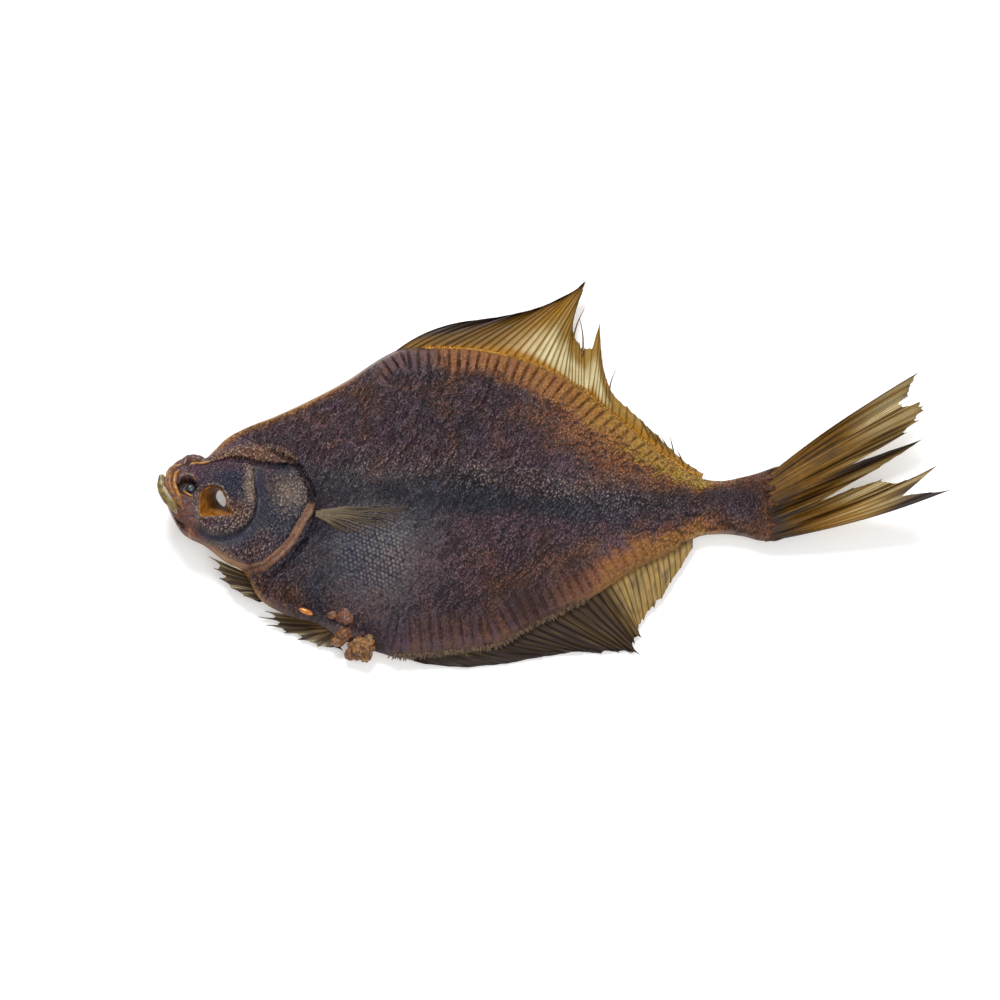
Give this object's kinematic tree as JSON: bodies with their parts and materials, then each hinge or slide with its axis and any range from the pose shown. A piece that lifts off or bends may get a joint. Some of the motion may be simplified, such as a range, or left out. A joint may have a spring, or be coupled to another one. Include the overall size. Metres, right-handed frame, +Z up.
{
  "type": "smoked flounder",
  "caption": "Whole smoked and dried flatfish with head, torn fins and fanned tail, lying on its blind side with the eyed side up.",
  "frame": {"origin": "bottom centre of the box, on the surface that the fish lies on", "axes": "+X from the snout to the tail, +Y from the belly to the back, +Z up through the eyed side"},
  "size_m": [0.281, 0.144, 0.0211],
  "materials": {
    "smoked_skin": "dry wrinkled fish skin, dark purple-brown to golden at the edges, with a dull oily gloss"
  },
  "bodies": {
    "root": {"smoked_flounder": "smoked_skin"}
  },
  "joints": []
}
